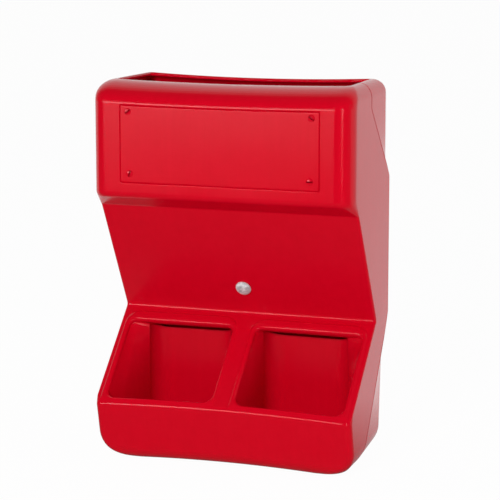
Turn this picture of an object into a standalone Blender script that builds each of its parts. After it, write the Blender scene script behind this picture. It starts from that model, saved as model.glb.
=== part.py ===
"""Two-hole creep feeder: a blow-moulded hopper with two feeding cups and a sliding feed gate.

Lengths below are in millimetres. A depth is measured forward from the back face, a height up
from the base. The mesh frame is in metres: +X to the right, -Y to the front, +Z up, with the
origin under the middle of the body. The body is one moulding: a lofted skin, a lofted hollow
inside it, two pockets pushed in from the trough panel, and a recess pushed in from the back
whose sloped top guides the feed into the cups.
"""
import math

import bmesh
import bpy
import numpy as np
from mathutils import Matrix, Vector

MM = 0.001
GAP = 0.3

# The body: overall form and wall. The setbacks are measured from the front of the nose.
WIDTH = 305.0
BODY_DEPTH = 158.0
WALL = 4.0
LIP_HEIGHT = 67.0
PANEL_RISE = 96.0
SLANT_RISE = 130.0
NOSE_STEP_RISE = 14.0
NOSE_HEIGHT = 128.0
FOOT_SETBACK = 17.5
TROUGH_SETBACK = 2.0
SLANT_SETBACK = 28.0
THROAT_DEPTH = 57.0

# Edge roundings of the body, seen from the side.
FOOT_ROUND = 18.5
LIP_EDGE_ROUND = 7.0
THROAT_ROUND = 5.0
NOSE_INSIDE_ROUND = 6.0
NOSE_EDGE_ROUND = 8.0
SHOULDER_DROP = 23.0
SHOULDER_FRONT = 40.0
SIDE_SHOULDER_DROP = 17.0
SHOULDER_SIDE = 15.0
BACK_SHOULDER_DROP = 16.0
SHOULDER_BACK = 22.0
BASE_SIDE_ROUND = 31.0
BASE_BACK_ROUND = 30.0

# Corner roundings of the body, seen from above.
TROUGH_CORNER = 8.0
PANEL_CORNER = 3.0
TROUGH_CORNER_RISE = 8.0
NOSE_CORNER = 20.0
BACK_CORNER = 16.0
WAIST_CORNER = 3.0
BASE_CORNER_GROWTH = 0.25
RIM_CORNER_GROWTH = -0.8

# The mould's parting line, the sides' taper towards it and the drafted back half behind it.
SIDE_TAPER = 1.3
BACK_DRAFT_TOP = 2.1
BACK_DRAFT_WAIST = 3.6
BACK_DRAFT_BASE = 7.5
PARTING_NOSE_DEPTH = 78.0
PARTING_FOOT_DEPTH = 108.0
WAIST_TOP_BELOW_RIM = 115.0
WAIST_FOOT_ABOVE_LIP = 99.0
PARTING_DROP = 86.0
WAIST_BLEND_TOP = 26.0
WAIST_BLEND_FOOT = 34.0

# Gentle bows of the moulding.
BASE_ARCH = 2.7
BASE_ARCH_SPAN = 208.0
LIP_CROWN = 4.0
RIM_SAG_FRONT = 2.5
RIM_SAG_BACK = 4.5
RIM_LAND = 1.2

# The two cups. Behind its ceiling each is open upward to the hopper.
DIVIDER_WIDTH = 28.0
OPENING_WIDTH = 127.0
OPENING_TOP = 21.0
OPENING_LENGTH = 108.0
OPENING_CORNER = 12.0
OPENING_TOP_CORNER = 8.0
OPENING_ROUND = 3.0
CUP_BACK_DEPTH = 43.0
CUP_CORNER = 20.0
CUP_TOP_CORNER = 2.0
CUP_FLOOR = 10.0
CUP_FRONT_WALL = 7.0
CUP_FLOOR_ROUND = 26.0
CUP_SIDE_TAPER = 19.5
CUP_DIVIDER_TAPER = 6.0
CUP_CEILING_FALL = 2.5
CUP_ROOF_FALL = 14.0
CUP_STRETCH = 16.0

# The recess in the back, whose sloped top is the hopper's floor.
RECESS_SIDE_MARGIN = 36.0
RECESS_FOOT = 26.0
RECESS_CORNER = 12.0
RECESS_ROUND = 7.0
RECESS_DRAFT = 4.0
CHUTE_TOP_ABOVE_LIP = 108.0
CHUTE_DROP = 44.0

# The feed gate and the bolt that clamps it.
BOLT_UP_SLANT = 37.0
BOLT_DIAMETER = 7.9
BOLT_LENGTH = 28.0
BOLT_HEAD_DIAMETER = 18.3
BOLT_HEAD_HEIGHT = 4.4
BOLT_HEAD_EDGE = 0.7
BOLT_NECK = 8.0
BOLT_NECK_LENGTH = 4.6
GATE_WIDTH = 270.0
GATE_HEIGHT = 92.0
GATE_THICKNESS = 1.5
GATE_FLANGE = 14.0
GATE_BEND = 3.0
GATE_REST = 12.0
GATE_TRAVEL = 32.0
GATE_SLOT_PLAY = 0.55
GATE_CORNER = 8.0
WASHER_DIAMETER = 25.0
WASHER_THICKNESS = 2.0
NUT_BASE_DIAMETER = 16.0
NUT_TOP_DIAMETER = 12.5
NUT_HEIGHT = 10.0
NUT_COLLAR = 2.0
NUT_WING_SPAN = 40.0
NUT_WING_RISE = 19.0
NUT_WING_FOOT = 3.0
NUT_WING_TIP = 8.0
NUT_WING_ROUND = 4.0
NUT_WING_THICKNESS = 3.0
EDGE_BREAK = 0.8

# Two holes through the upper back wall take the wall screws.
MOUNT_HOLE_DIAMETER = 8.5
MOUNT_HOLE_SPACING = 200.0
MOUNT_HOLE_BELOW_RIM = 55.0

# Heights that follow from the rises above.
LIP_Z = LIP_HEIGHT
THROAT_Z = LIP_Z + PANEL_RISE
SLANT_Z = THROAT_Z + SLANT_RISE
NOSE_Z = SLANT_Z + NOSE_STEP_RISE
RIM_Z = NOSE_Z + NOSE_HEIGHT
HALF_WIDTH = WIDTH / 2

# Depths that follow from the setbacks above.
TROUGH_DEPTH = BODY_DEPTH - TROUGH_SETBACK
FOOT_DEPTH = BODY_DEPTH - FOOT_SETBACK
SLANT_DEPTH = BODY_DEPTH - SLANT_SETBACK

# How far a cutter runs past the surface that it cuts, and a tool's own small overlap.
PAST = 8.0
OVERLAP = 0.5


def place(across, depth, height):
    """A point of the millimetre layout as a vector in the mesh frame."""
    return Vector((across * MM, (BODY_DEPTH / 2 - depth) * MM, height * MM))


def rounded_path(corners, steps):
    """A polyline through (a, b, lead_in, lead_out) corners, each rounded by a conic arc.

    The leads are the tangent lengths. Equal leads give a circular arc, unequal ones an ellipse.
    Where two roundings would meet, both shrink to fit the stretch between their corners.
    """
    points = np.array([corner[:2] for corner in corners], float)
    leads_in, leads_out = np.array([corner[2:] for corner in corners], float).T
    room = np.linalg.norm(np.diff(points, axis=0), axis=1)
    fit = np.minimum(1.0, 0.96 * room / np.maximum(leads_out[:-1] + leads_in[1:], 1e-9))
    path = [points[0]]
    for index in range(1, len(points) - 1):
        here = points[index]
        before = (points[index - 1] - here) / room[index - 1]
        after = (points[index + 1] - here) / room[index]
        start = here + before * leads_in[index] * fit[index - 1]
        end = here + after * leads_out[index] * fit[index]
        weight = math.sqrt(max((1 - before @ after) / 2, 0.0))
        for step in range(steps + 1):
            t = step / steps
            blend = (1 - t) ** 2, 2 * weight * t * (1 - t), t ** 2
            path.append((blend[0] * start + blend[1] * here + blend[2] * end) / sum(blend))
    path.append(points[-1])
    return np.array(path)


def circular(a, b, radius, before, after):
    """A corner for rounded_path with a circular rounding of the given radius."""
    here = np.array([a, b], float)
    one = np.array(before, float) - here
    two = np.array(after, float) - here
    cosine = one @ two / (np.linalg.norm(one) * np.linalg.norm(two))
    lead = radius * math.sqrt((1 + cosine) / max(1 - cosine, 1e-6))
    return a, b, lead, lead


def front_corners():
    """The front outline from the base to the mouth, as rounded corners of (depth, height)."""
    start, end = (BODY_DEPTH / 2, 0.0), (BODY_DEPTH / 2, RIM_Z)
    foot, lip = (FOOT_DEPTH, 0.0), (TROUGH_DEPTH, LIP_Z)
    throat, slant = (THROAT_DEPTH, THROAT_Z), (SLANT_DEPTH, SLANT_Z)
    nose, top = (BODY_DEPTH, NOSE_Z), (BODY_DEPTH, RIM_Z)
    return [
        start + (0.0, 0.0),
        circular(*foot, FOOT_ROUND, start, lip),
        circular(*lip, LIP_EDGE_ROUND, foot, throat),
        circular(*throat, THROAT_ROUND, lip, slant),
        circular(*slant, NOSE_INSIDE_ROUND, throat, nose),
        circular(*nose, NOSE_EDGE_ROUND, slant, top),
        top + (SHOULDER_DROP, SHOULDER_FRONT),
        end + (0.0, 0.0),
    ]


def side_corners():
    """Half of the outline seen from the front, as rounded corners of (across, height)."""
    return [
        (0.0, 0.0, 0.0, 0.0),
        (HALF_WIDTH, 0.0, BASE_SIDE_ROUND, BASE_SIDE_ROUND),
        (HALF_WIDTH, RIM_Z, SIDE_SHOULDER_DROP, SHOULDER_SIDE),
        (0.0, RIM_Z, 0.0, 0.0),
    ]


def back_corners():
    """The back outline, as rounded corners of (forward of the back face, height)."""
    return [
        (BODY_DEPTH / 2, 0.0, 0.0, 0.0),
        (0.0, 0.0, BASE_BACK_ROUND, BASE_BACK_ROUND),
        (0.0, RIM_Z, BACK_SHOULDER_DROP, SHOULDER_BACK),
        (BODY_DEPTH / 2, RIM_Z, 0.0, 0.0),
    ]


def offset_path(path, distance):
    """The polyline moved sideways by a distance, to the left of its direction."""
    step = np.diff(path, axis=0)
    step /= np.maximum(np.linalg.norm(step, axis=1, keepdims=True), 1e-9)
    normal = np.stack([-step[:, 1], step[:, 0]], axis=1)
    at_points = np.vstack([normal[:1], normal[:-1] + normal[1:], normal[-1:]])
    at_points /= np.linalg.norm(at_points, axis=1, keepdims=True)
    return path + at_points * distance


def along_height(path, height):
    """Where a rising polyline stands at a height."""
    order = np.argsort(path[:, 1], kind="stable")
    return float(np.interp(height, path[order, 1], path[order, 0]))


def smooth_between(low, high, value):
    """0 below low, 1 above high, an even S-curve between."""
    t = min(max((value - low) / (high - low), 0.0), 1.0)
    return t * t * (3 - 2 * t)


class Skin:
    """The lofted skin of the body, or the same skin moved in by an inset."""

    FINE = 24
    COARSE = 4
    LEAST_RISE = 1.6
    LAST_RISE = 0.25
    LEAST_CORNER = 1.0
    ARC_STEPS = 5
    FLAT_SHARES = (0.0, 0.3, 0.6, 0.85)

    def __init__(self, inset=0.0):
        self.inset = inset
        outlines = front_corners(), side_corners(), back_corners()
        turns = 1, 1, -1
        self.front, self.side, self.back = [
            offset_path(rounded_path(corners, self.FINE)[1:-1], inset * turn)
            for corners, turn in zip(outlines, turns)
        ]
        heights = np.sort(np.concatenate([
            offset_path(rounded_path(corners, self.COARSE)[1:-1], inset * turn)[:, 1]
            for corners, turn in zip(outlines, turns)
        ]))
        low, high = inset, RIM_Z - inset
        self.heights = [low]
        for height in heights:
            if self.heights[-1] + self.LEAST_RISE < height < high - self.LAST_RISE:
                self.heights.append(height)
        self.heights.append(high)

    def front_corner(self, height):
        """The radius of the front corners, seen from above."""
        to_panel = smooth_between(LIP_Z, LIP_Z + TROUGH_CORNER_RISE, height)
        to_nose = smooth_between(SLANT_Z, NOSE_Z, height)
        radius = TROUGH_CORNER + (PANEL_CORNER - TROUGH_CORNER) * to_panel
        radius += (NOSE_CORNER - PANEL_CORNER) * to_nose
        return max(radius + self.growth(height) - self.inset, self.LEAST_CORNER)

    def growth(self, height):
        """How much rounder or tighter the corners are where the side has drawn in."""
        lost = max(HALF_WIDTH - self.inset - along_height(self.side, height), 0.0)
        return lost * (BASE_CORNER_GROWTH if height < RIM_Z / 2 else RIM_CORNER_GROWTH)

    def behind_parting(self, height):
        """1 where the back half of the mould is drafted and rounded, 0 at the waist."""
        waist_top = RIM_Z - WAIST_TOP_BELOW_RIM
        waist_foot = LIP_Z + WAIST_FOOT_ABOVE_LIP
        above = smooth_between(waist_top, waist_top + WAIST_BLEND_TOP, height)
        below = 1 - smooth_between(waist_foot - WAIST_BLEND_FOOT, waist_foot, height)
        return max(above, below)

    def back_draft(self, height):
        """How much narrower than the parting line the body is at its back."""
        waist_foot = LIP_Z + WAIST_FOOT_ABOVE_LIP
        if height > waist_foot:
            return BACK_DRAFT_TOP
        return BACK_DRAFT_BASE + (BACK_DRAFT_WAIST - BACK_DRAFT_BASE) * height / waist_foot

    def parting(self, height):
        """The depth of the parting line on the side at a height."""
        above = (height - (RIM_Z - WAIST_TOP_BELOW_RIM)) / PARTING_DROP
        below = (LIP_Z + WAIST_FOOT_ABOVE_LIP - height) / (LIP_Z + WAIST_FOOT_ABOVE_LIP)
        return max(min(above, 1.0) * PARTING_NOSE_DEPTH, below * PARTING_FOOT_DEPTH, 0.0)

    def bow(self, across, depth, height):
        """How far the moulding's edges bow up or down at a place."""
        rim_sag = RIM_SAG_BACK + (RIM_SAG_FRONT - RIM_SAG_BACK) * depth / BODY_DEPTH
        levels = 0.0, LIP_Z, THROAT_Z, NOSE_Z, RIM_Z
        lift = np.interp(height, levels, (BASE_ARCH, LIP_CROWN, 0.0, 0.0, -rim_sag))
        span = np.interp(height, levels[:2], (BASE_ARCH_SPAN / 2, HALF_WIDTH))
        return float(lift * max(0.0, 1 - (across / span) ** 2))

    def ring(self, height):
        """Half of the plan outline at a height: across and depth, from front to back centre."""
        front = along_height(self.front, height)
        side = along_height(self.side, height)
        back = along_height(self.back, height)
        behind = self.behind_parting(height)
        corner = min(self.front_corner(height), side / 2)
        back_corner = WAIST_CORNER + (BACK_CORNER - WAIST_CORNER) * behind - self.inset
        back_corner = max(back_corner + self.growth(height), self.LEAST_CORNER)
        parting_side = side - SIDE_TAPER
        back_side = parting_side - self.back_draft(height) * behind
        seam_back, seam_front = back + back_corner, front - corner
        seam = min(max(self.parting(height), seam_back + 1), seam_front - 1)
        turns = [math.pi / 2 * step / self.ARC_STEPS for step in range(self.ARC_STEPS + 1)]
        outline = [((side - corner) * share, front) for share in self.FLAT_SHARES]
        outline += [(side - corner + corner * math.sin(turn),
                     seam_front + corner * math.cos(turn)) for turn in turns]
        outline.append((parting_side, seam))
        outline += [(back_side - back_corner + back_corner * math.cos(turn),
                     seam_back - back_corner * math.sin(turn)) for turn in turns]
        outline += [((back_side - back_corner) * share, back)
                    for share in reversed(self.FLAT_SHARES)]
        return outline

    def level(self, height):
        """The plan outline at a height as points of the layout, all the way round."""
        half = self.ring(height)
        other = [(-across, depth) for across, depth in half[-2:0:-1]]
        return [(across, depth, height + self.bow(across, depth, height))
                for across, depth in half + other]


def loft(name, levels):
    """A closed solid through a stack of level outlines with as many points each.

    An outline starts at its front centre. The ends are capped in strips from front to back,
    so that an end that bows across stays smooth, and in one face at each side.
    """
    mesh = bmesh.new()
    rows = [[mesh.verts.new(place(*point)) for point in level] for level in levels]
    count = len(levels[0])
    for below, above in zip(rows, rows[1:]):
        for index in range(count):
            after = (index + 1) % count
            mesh.faces.new((below[index], below[after], above[after], above[index]))
    half = count // 2
    strips = half // 2 - 3
    for row in (rows[0], rows[-1]):
        for sign in (1, -1):
            caps = [(index, index + 1, half - index - 1, half - index) for index in range(strips)]
            caps.append(range(strips, half - strips + 1))
            for cap in caps:
                mesh.faces.new([row[sign * number % count] for number in cap])
    bmesh.ops.recalc_face_normals(mesh, faces=mesh.faces)
    return finished(name, mesh)


def finished(name, mesh):
    """Turn a bmesh into an object in the scene."""
    data = bpy.data.meshes.new(name)
    mesh.to_mesh(data)
    mesh.free()
    piece = bpy.data.objects.new(name, data)
    bpy.context.scene.collection.objects.link(piece)
    return piece


def file_under(collection, *pieces):
    """Move objects into one collection."""
    for piece in pieces:
        for home in list(piece.users_collection):
            home.objects.unlink(piece)
        collection.objects.link(piece)


def cutter(piece):
    """Mark an object as a cutter."""
    piece.hide_render = True
    piece.display_type = 'WIRE'
    file_under(CUTTERS, piece)
    return piece


def combine(piece, operand, operation='DIFFERENCE'):
    """Cut or join a piece with another by an exact Boolean."""
    boolean = piece.modifiers.new(operation.lower() + '_' + operand.name, 'BOOLEAN')
    boolean.operation = operation
    boolean.solver = 'EXACT'
    boolean.object = operand


def material(name, colour, roughness, metallic=0.0):
    """A plain Principled material."""
    made = bpy.data.materials.new(name)
    made.use_nodes = True
    shader = made.node_tree.nodes['Principled BSDF']
    shader.inputs['Base Color'].default_value = (*colour, 1.0)
    shader.inputs['Roughness'].default_value = roughness
    shader.inputs['Metallic'].default_value = metallic
    return made


def solid(piece, look, smooth_angle=32.0):
    """File a finished piece, give it its material and shade it smooth up to an angle."""
    piece.data.materials.clear()
    piece.data.materials.append(look)
    piece.data.shade_smooth()
    piece.data.set_sharp_from_angle(angle=math.radians(smooth_angle))
    file_under(FEEDER, piece)
    return piece


def turned(name, profile, segments=32):
    """A solid turned about its own Z axis from a profile of (radius, height) points.

    The profile runs down the outer side, and a ring's profile is closed by its first point.
    """
    mesh = bmesh.new()
    points = [mesh.verts.new((radius * MM, 0.0, height * MM)) for radius, height in profile]
    pairs = list(zip(points, points[1:]))
    if profile[0][0] > 0.0:
        pairs.append((points[-1], points[0]))
    for pair in pairs:
        mesh.edges.new(pair)
    piece = finished(name, mesh)
    screw = piece.modifiers.new('turn', 'SCREW')
    screw.steps = screw.render_steps = segments
    screw.use_merge_vertices = True
    screw.merge_threshold = 0.00001
    return piece


def prism(name, outline, low, high):
    """A solid with a flat outline in its own XY plane, from one height to another."""
    mesh = bmesh.new()
    face = mesh.faces.new([mesh.verts.new((x * MM, y * MM, low * MM)) for x, y in outline])
    grown = bmesh.ops.extrude_face_region(mesh, geom=[face])['geom']
    raised = [item for item in grown if isinstance(item, bmesh.types.BMVert)]
    bmesh.ops.translate(mesh, verts=raised, vec=(0.0, 0.0, (high - low) * MM))
    bmesh.ops.recalc_face_normals(mesh, faces=mesh.faces)
    return finished(name, mesh)


def divided(path, longest):
    """The polyline with every stretch over the longest length split evenly."""
    points = [path[0]]
    for start, end in zip(path, path[1:]):
        parts = math.ceil(np.linalg.norm(end - start) / longest)
        points += [start + (end - start) * part / parts for part in range(1, parts + 1)]
    return np.array(points)


def rounded_rectangle(left, right, low, high, radius, top_radius=None, steps=4, side_steps=1):
    """A rounded rectangle, from its top middle clockwise. Its top corners may differ."""
    most = 0.96 * min(right - left, high - low) / 2
    top = min(radius if top_radius is None else top_radius, most)
    radius = min(radius, most)
    turns = [math.pi / 2 * step / steps for step in range(steps + 1)]
    outline = [((left + right) / 2, high)]
    outline += [(right - top + top * math.sin(turn),
                 high - top + top * math.cos(turn)) for turn in turns]
    outline += [(right, high - top + (low + radius - high + top) * step / side_steps)
                for step in range(1, side_steps)]
    outline += [(right - radius + radius * math.cos(turn),
                 low + radius - radius * math.sin(turn)) for turn in turns]
    outline.append(((left + right) / 2, low))
    mirrored = [(left + right - across, up) for across, up in outline[-2:0:-1]]
    return outline + mirrored


def square(width):
    """A square outline about the origin."""
    half = width / 2
    return [(-half, -half), (half, -half), (half, half), (-half, half)]


def drawn_in(outline, distance):
    """A level outline scaled about its middle, so that each side moves in by the distance."""
    points = np.array(outline, float)
    low, high = points.min(axis=0), points.max(axis=0)
    middle, half = (low + high)[:2] / 2, (high - low)[:2] / 2
    points[:, :2] = middle + (points[:, :2] - middle) * (1 - distance / half)
    return [tuple(point) for point in points]


class Stretch:
    """A straight stretch of the side view, with places along it and off it."""

    def __init__(self, start, end, inward):
        self.start = np.array(start, float)
        reach = np.array(end, float) - self.start
        self.along = reach / np.linalg.norm(reach)
        self.inward = np.array([self.along[1], -self.along[0]]) * inward

    def at(self, distance, inward=0.0):
        """The (depth, height) at a distance along the stretch and inward from it."""
        return self.start + self.along * distance + self.inward * inward


PANEL = Stretch((THROAT_DEPTH, THROAT_Z), (TROUGH_DEPTH, LIP_Z), 1)
SLANT = Stretch((THROAT_DEPTH, THROAT_Z), (SLANT_DEPTH, SLANT_Z), -1)


def section(skin, top, bottom, left, right, radius, top_radius, grow, side):
    """A rounded rectangle between a top and a bottom point of the side view, grown all round."""
    top, bottom = np.array(top, float), np.array(bottom, float)
    length = np.linalg.norm(top - bottom)
    up = (top - bottom) / length
    outline = rounded_rectangle(left - grow, right + grow, -grow, length + grow,
                                radius + grow, top_radius + grow, side_steps=5)
    points = []
    for across, along in outline:
        depth, height = bottom + up * along
        points.append((side * across, depth, height + skin.bow(across, depth, height)))
    return points


def cup(name, skin, side, grow):
    """One feeding cup as a solid, or the block one wall larger that holds it.

    Sections follow each other from outside the trough panel, round the opening's edge, down
    the front wall and along the floor, and draw in round the corners of the back wall. There
    the cup reaches up through its ceiling, so that the feed falls in, while the block's roof
    falls away to the back.
    """
    left, right = DIVIDER_WIDTH / 2, DIVIDER_WIDTH / 2 + OPENING_WIDTH
    top, bottom = OPENING_TOP, OPENING_TOP + OPENING_LENGTH
    levels = []
    edges = [(-PAST, OPENING_ROUND)]
    for turn in np.radians((0.0, 30.0, 60.0, 90.0)):
        edges.append((OPENING_ROUND * (1 - math.cos(turn)), OPENING_ROUND * (1 - math.sin(turn))))
    for inward, wider in edges:
        levels.append(section(skin, PANEL.at(top, inward), PANEL.at(bottom, inward),
                              left, right, OPENING_CORNER, OPENING_TOP_CORNER,
                              grow + wider, side))
    round_depth = CUP_BACK_DEPTH + CUP_CORNER
    ceiling = PANEL.at(top, OPENING_ROUND)
    ceiling_end = np.array([round_depth, ceiling[1] - CUP_CEILING_FALL])
    mouth_foot = PANEL.at(bottom, OPENING_ROUND)
    foot_depth = TROUGH_DEPTH - CUP_FRONT_WALL
    foot_depth -= (TROUGH_DEPTH - FOOT_DEPTH) * (1 - CUP_FLOOR / LIP_Z)
    run = divided(rounded_path([
        (*mouth_foot, 0.0, 0.0),
        circular(foot_depth, CUP_FLOOR, CUP_FLOOR_ROUND, mouth_foot, (round_depth, CUP_FLOOR)),
        (round_depth, CUP_FLOOR, 0.0, 0.0),
    ], 4), CUP_STRETCH)
    lengths = np.concatenate([[0.0], np.cumsum(np.linalg.norm(np.diff(run, axis=0), axis=1))])
    for place_on_run, length in list(zip(run, lengths))[1:]:
        share = length / lengths[-1]
        radius = OPENING_CORNER + (CUP_CORNER - OPENING_CORNER) * share
        top_radius = OPENING_TOP_CORNER + (CUP_TOP_CORNER - OPENING_TOP_CORNER) * share
        levels.append(section(skin, ceiling + (ceiling_end - ceiling) * share, place_on_run,
                              left + CUP_DIVIDER_TAPER * share, right - CUP_SIDE_TAPER * share,
                              radius, top_radius, grow, side))
    for turn in np.radians((1.0, 22.5, 45.0, 67.5, 90.0)):
        depth = round_depth - (CUP_CORNER + grow) * math.sin(turn)
        drawn = (CUP_CORNER + grow) * (1 - math.cos(turn))
        roof = ceiling_end[1] - CUP_ROOF_FALL * math.sin(turn) if grow else ceiling[1] + PAST
        levels.append(section(skin, (depth, roof), (depth, CUP_FLOOR + drawn),
                              left + CUP_DIVIDER_TAPER + drawn, right - CUP_SIDE_TAPER - drawn,
                              CUP_CORNER * (1 + math.cos(turn)) / 2, CUP_TOP_CORNER, grow, side))
    return cutter(loft(name, levels))


def recess(name, grow):
    """The pocket in the lower back, as a solid, or that block grown by one wall."""
    half = HALF_WIDTH - RECESS_SIDE_MARGIN
    deep = CUP_BACK_DEPTH - 2 * WALL + OVERLAP
    foot, top = RECESS_FOOT, LIP_Z + CHUTE_TOP_ABOVE_LIP
    slope = CHUTE_DROP / deep
    lean = grow * math.hypot(1.0, slope)
    levels = []
    stops = [(-PAST, 0.0)]
    for turn in np.radians((0.0, 30.0, 60.0, 90.0)):
        stops.append((deep - RECESS_ROUND + (RECESS_ROUND + grow) * math.sin(turn),
                      (RECESS_ROUND + grow) * (1 - math.cos(turn))))
    for depth, drawn in stops:
        draft = RECESS_DRAFT * max(depth, 0.0) / deep
        outline = rounded_rectangle(
            -half + draft + drawn - grow, half - draft - drawn + grow,
            foot + draft + drawn - grow, top - slope * depth - drawn / 2 + lean,
            RECESS_CORNER + grow - drawn / 2)
        levels.append([(across, depth, height) for across, height in outline])
    return cutter(loft(name, levels))


def on_slant(name, distance):
    """An empty on the slanted panel: X across, Y up the slope, Z out of the panel."""
    empty = bpy.data.objects.new(name, None)
    empty.empty_display_size = 20 * MM
    FEEDER.objects.link(empty)
    across = Vector((1, 0, 0))
    up = Vector((0, -SLANT.along[0], SLANT.along[1]))
    turn = Matrix((across, up, across.cross(up))).transposed()
    empty.matrix_world = Matrix.Translation(place(0, *SLANT.at(distance))) @ turn.to_4x4()
    return empty


def carry(piece, parent, shift=(0, 0, 0)):
    """Hang a piece on an empty, moved by a shift in the empty's own axes."""
    piece.parent = parent
    piece.location = Vector(shift) * MM
    return piece


def feeder_body():
    """The red moulding: skin, hollow, cups, back recess and its holes."""
    outer, inner = Skin(), Skin(WALL)
    body = loft('feeder_body', [outer.level(height) for height in outer.heights])
    levels = [inner.level(height) for height in inner.heights]
    levels[-1] = drawn_in(levels[-1], RIM_LAND)
    levels.append([(across, depth, RIM_Z + PAST) for across, depth, height in levels[-1]])
    hollow = cutter(loft('hollow', levels))
    combine(hollow, recess('recess_wall', WALL))
    for side, word in ((-1, 'left'), (1, 'right')):
        combine(hollow, cup('cup_wall_' + word, outer, side, WALL))
    combine(body, hollow)
    combine(body, recess('recess', 0.0))
    for side, word in ((-1, 'left'), (1, 'right')):
        combine(body, cup('cup_' + word, outer, side, 0.0))
    return solid(body, RED_POLYETHYLENE)


def body_holes(body, bolt_axis):
    """The square hole for the gate bolt and the two round holes for the wall screws."""
    hole = prism('bolt_hole', square(BOLT_NECK + 2 * GAP), -WALL - PAST, PAST)
    combine(body, cutter(carry(hole, bolt_axis)))
    for side, word in ((-1, 'left'), (1, 'right')):
        bpy.ops.mesh.primitive_cylinder_add(
            vertices=20, radius=MOUNT_HOLE_DIAMETER / 2 * MM, depth=2 * (WALL + PAST) * MM,
            location=place(side * MOUNT_HOLE_SPACING / 2, 0, RIM_Z - MOUNT_HOLE_BELOW_RIM),
            rotation=(math.pi / 2, 0, 0))
        drill = bpy.context.object
        drill.name = 'mount_hole_' + word
        combine(body, cutter(drill))


def feed_gate(bolt_axis):
    """The slotted sheet-steel gate, with a folded top edge to pull it by."""
    low = GATE_REST - BOLT_UP_SLANT
    face = -(WALL + GAP + GATE_THICKNESS / 2)
    top = low + GATE_HEIGHT
    profile = rounded_path([
        (low, face, 0, 0), (top, face, GATE_BEND, GATE_BEND), (top, face - GATE_FLANGE, 0, 0)], 4)
    half = GATE_WIDTH / 2
    mesh = bmesh.new()
    rows = [[mesh.verts.new((across * MM, up * MM, out * MM)) for across in (-half, half)]
            for up, out in profile]
    for below, above in zip(rows, rows[1:]):
        mesh.faces.new((below[0], below[1], above[1], above[0]))
    corners = rows[0] + rows[-1]
    bmesh.ops.bevel(mesh, geom=corners, offset=GATE_CORNER * MM, segments=4,
                    affect='VERTICES', profile=0.5)
    gate = finished('feed_gate', mesh)
    sheet = gate.modifiers.new('sheet', 'SOLIDIFY')
    sheet.thickness = GATE_THICKNESS * MM
    sheet.offset = 0.0
    half_slot = BOLT_DIAMETER / 2 + GATE_SLOT_PLAY
    outline = rounded_rectangle(-half_slot, half_slot, -half_slot, GATE_TRAVEL + half_slot,
                                half_slot, steps=8)
    combine(gate, cutter(carry(prism('gate_slot', outline, face - PAST, 0), bolt_axis)))
    return solid(carry(gate, bolt_axis), GALVANISED_STEEL)


def gate_bolt(bolt_axis):
    """A carriage bolt: domed head outside, square neck in the body's square hole."""
    head, shank = BOLT_HEAD_DIAMETER / 2, BOLT_DIAMETER / 2
    dome = BOLT_HEAD_HEIGHT - BOLT_HEAD_EDGE
    profile = [(0.0, BOLT_HEAD_HEIGHT)]
    for turn in np.radians((15.0, 30.0, 45.0, 60.0, 75.0, 90.0)):
        profile.append((head * math.sin(turn), BOLT_HEAD_EDGE + dome * math.cos(turn)))
    profile += [(head, 0.0), (shank, 0.0), (shank, EDGE_BREAK - BOLT_LENGTH),
                (shank - EDGE_BREAK, -BOLT_LENGTH), (0.0, -BOLT_LENGTH)]
    bolt = turned('gate_bolt', profile)
    neck = prism('bolt_neck', square(BOLT_NECK), -BOLT_NECK_LENGTH, OVERLAP)
    combine(bolt, cutter(carry(neck, bolt_axis, (0, 0, GAP))), 'UNION')
    return solid(carry(bolt, bolt_axis, (0, 0, GAP)), ZINC_PLATE)


def gate_washer(bolt_axis):
    """The wide washer that bridges the gate's slot."""
    bore, rim = BOLT_DIAMETER / 2 + GAP, WASHER_DIAMETER / 2
    profile = [(rim, 0.0), (rim, -WASHER_THICKNESS), (bore, -WASHER_THICKNESS), (bore, 0.0)]
    washer = turned('gate_washer', profile)
    seat = -(WALL + GATE_THICKNESS + 2 * GAP)
    return solid(carry(washer, bolt_axis, (0, 0, seat)), ZINC_PLATE)


def gate_wing_nut(bolt_axis):
    """The wing nut that clamps the gate from inside the hopper."""
    base, tip = NUT_BASE_DIAMETER / 2, NUT_TOP_DIAMETER / 2
    profile = [(0.0, 0.0), (base - EDGE_BREAK, 0.0), (base, -EDGE_BREAK), (base, -NUT_COLLAR),
               (tip, EDGE_BREAK - NUT_HEIGHT), (tip - EDGE_BREAK, -NUT_HEIGHT),
               (0.0, -NUT_HEIGHT)]
    nut = turned('gate_wing_nut', profile)
    reach, root = NUT_WING_SPAN / 2, tip / 2
    crotch = NUT_HEIGHT - 2 * EDGE_BREAK
    lead = (NUT_WING_ROUND, NUT_WING_ROUND)
    path = rounded_path([
        (root, NUT_COLLAR, 0, 0),
        ((base + reach) / 2 - root, NUT_WING_FOOT) + lead,
        (reach, (NUT_WING_FOOT + NUT_WING_RISE) / 2) + lead,
        (reach, NUT_WING_RISE) + lead,
        (reach - NUT_WING_TIP, NUT_WING_RISE) + lead,
        (tip, crotch) + lead,
        (root, crotch, 0, 0)], 4)
    for side, word in ((-1, 'left'), (1, 'right')):
        outline = [(side * across, -up) for across, up in path]
        wing = prism('wing_' + word, outline, -NUT_WING_THICKNESS / 2, NUT_WING_THICKNESS / 2)
        wing.data.transform(Matrix.Rotation(math.pi / 2, 4, 'X'))
        combine(nut, cutter(wing), 'UNION')
        wing.parent = bolt_axis
        wing.location = (0, 0, nut_seat() * MM)
    hole = BOLT_DIAMETER / 2 + GAP
    bore = turned('nut_bore', [(0.0, PAST), (hole, PAST), (hole, -NUT_HEIGHT - PAST),
                               (0.0, -NUT_HEIGHT - PAST)], 24)
    combine(nut, cutter(carry(bore, bolt_axis, (0, 0, nut_seat()))))
    return solid(carry(nut, bolt_axis, (0, 0, nut_seat())), ZINC_PLATE)


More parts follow.
